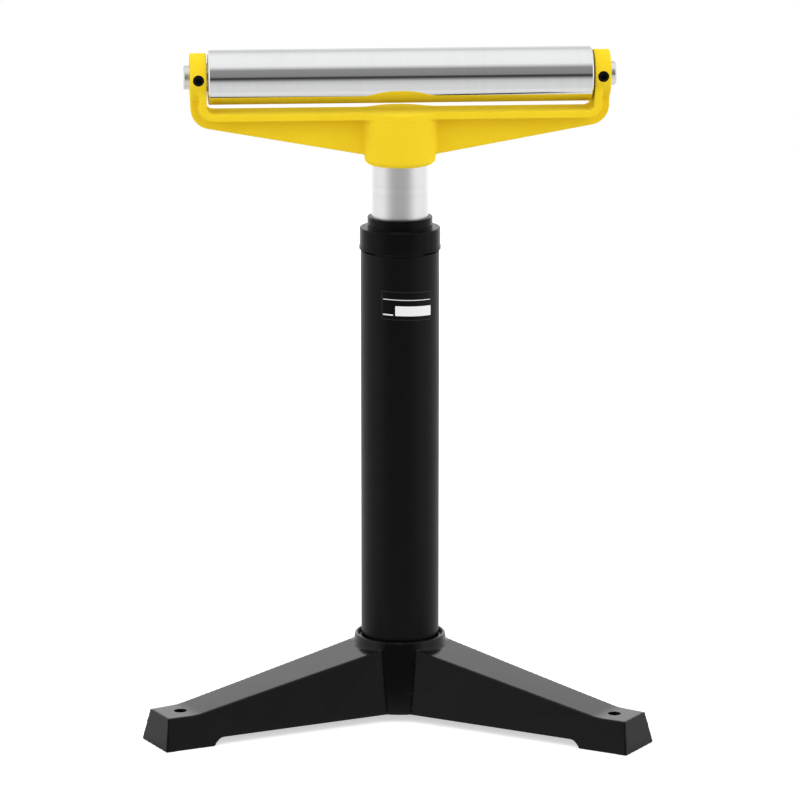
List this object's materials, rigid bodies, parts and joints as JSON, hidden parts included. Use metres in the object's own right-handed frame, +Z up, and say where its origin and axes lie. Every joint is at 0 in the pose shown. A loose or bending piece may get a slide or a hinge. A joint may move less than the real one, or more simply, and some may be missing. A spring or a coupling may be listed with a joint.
{
  "type": "roller stand",
  "caption": "Pedestal roller stand: cast tripod base, telescoping clamped column and a swivelling cast yoke that carries a long chromed roller for supporting stock.",
  "frame": {"origin": "on the floor, at the middle of the footprint of the three feet; the column axis is 54 mm in front of it", "axes": "+Z up along the column, -Y towards the two front feet and the viewer, +X to the viewer's right"},
  "size_m": [0.4766, 0.4128, 0.6339],
  "materials": {
    "black_cast_paint": "satin",
    "black_tube_paint": "gloss",
    "black_collar_paint": "satin",
    "yellow_enamel": "gloss",
    "satin_post_steel": "satin",
    "chromed_roller": "polished",
    "bright_steel": "satin",
    "bearing_steel": "polished",
    "black_oxide_steel": "satin",
    "brass_cage": "satin",
    "brass_pad": "satin",
    "nylon": "matte",
    "black_knob_plastic": "gloss"
  },
  "bodies": {
    "pedestal": {"base_casting": "black_cast_paint", "outer_column": "black_tube_paint", "column_collar": "black_collar_paint", "column_foot_plate": "black_oxide_steel", "base_bolt": "bright_steel", "base_washer": "bright_steel"},
    "lock_pad": {"pressure_pad": "brass_pad"},
    "lock_handle": {"lock_screw": "black_oxide_steel", "lock_lever": "black_cast_paint", "lever_knob": "black_knob_plastic"},
    "post_guide": {"guide_bush": "nylon"},
    "head": {"inner_post": "satin_post_steel", "post_plug": "black_oxide_steel", "plug_pin": "bright_steel", "bush_retainer": "black_oxide_steel", "roller_yoke": "yellow_enamel", "axle": "bright_steel", "axle_set_screw_left": "black_oxide_steel", "axle_set_screw_right": "black_oxide_steel", "yoke_set_screw_left": "black_oxide_steel", "yoke_set_screw_right": "black_oxide_steel", "axle_spacer_left": "bright_steel", "axle_spacer_right": "bright_steel", "bearing_inner_left": "bearing_steel", "bearing_inner_right": "bearing_steel"},
    "roller": {"roller_tube": "chromed_roller", "bearing_outer_left": "bearing_steel", "bearing_outer_right": "bearing_steel", "bearing_front_shield_left": "bearing_steel", "bearing_front_shield_right": "bearing_steel", "bearing_back_shield_left": "bearing_steel", "bearing_back_shield_right": "bearing_steel", "circlip_left": "black_oxide_steel", "circlip_right": "black_oxide_steel"},
    "left_ball_set": {"bearing_cage_left": "brass_cage", "bearing_ball_left_1": "bearing_steel", "bearing_ball_left_2": "bearing_steel", "bearing_ball_left_3": "bearing_steel", "bearing_ball_left_4": "bearing_steel", "bearing_ball_left_5": "bearing_steel", "bearing_ball_left_6": "bearing_steel", "bearing_ball_left_7": "bearing_steel", "bearing_ball_left_8": "bearing_steel", "bearing_ball_left_9": "bearing_steel"},
    "right_ball_set": {"bearing_cage_right": "brass_cage", "bearing_ball_right_1": "bearing_steel", "bearing_ball_right_2": "bearing_steel", "bearing_ball_right_3": "bearing_steel", "bearing_ball_right_4": "bearing_steel", "bearing_ball_right_5": "bearing_steel", "bearing_ball_right_6": "bearing_steel", "bearing_ball_right_7": "bearing_steel", "bearing_ball_right_8": "bearing_steel", "bearing_ball_right_9": "bearing_steel"}
  },
  "joints": [
    {"name": "lock_pad_slide", "type": "slide", "parent": "pedestal", "child": "lock_pad", "axis": [0, 1, 0], "range_m": [0, 0.00044]},
    {"name": "lock_handle_turn", "type": "hinge", "parent": "lock_pad", "child": "lock_handle", "pos_m": [0, -0.00211, 0.4559], "axis": [0, 1, 0], "range_deg": [0, 90]},
    {"name": "post_slide", "type": "slide", "parent": "pedestal", "child": "post_guide", "axis": [0, 0, 1], "range_m": [-0.0488, 0.215]},
    {"name": "head_swivel", "type": "hinge", "parent": "post_guide", "child": "head", "pos_m": [0, -0.05361, 0.5], "axis": [0, 0, 1], "continuous": true},
    {"name": "roller_spin", "type": "hinge", "parent": "head", "child": "roller", "pos_m": [0, -0.05361, 0.6085], "axis": [0.9954, 0.0958, 0], "continuous": true},
    {"name": "left_balls_orbit", "type": "hinge", "parent": "head", "child": "left_ball_set", "pos_m": [0, -0.05361, 0.6085], "axis": [0.9954, 0.0958, 0], "continuous": true},
    {"name": "right_balls_orbit", "type": "hinge", "parent": "head", "child": "right_ball_set", "pos_m": [0, -0.05361, 0.6085], "axis": [0.9954, 0.0958, 0], "continuous": true}
  ],
  "couplings": [
    {"joint": "lock_pad_slide", "follows": "lock_handle_turn", "m_per_rad": 0.0002785},
    {"joint": "left_balls_orbit", "follows": "roller_spin", "ratio": 0.5962},
    {"joint": "right_balls_orbit", "follows": "roller_spin", "ratio": 0.5962}
  ]
}
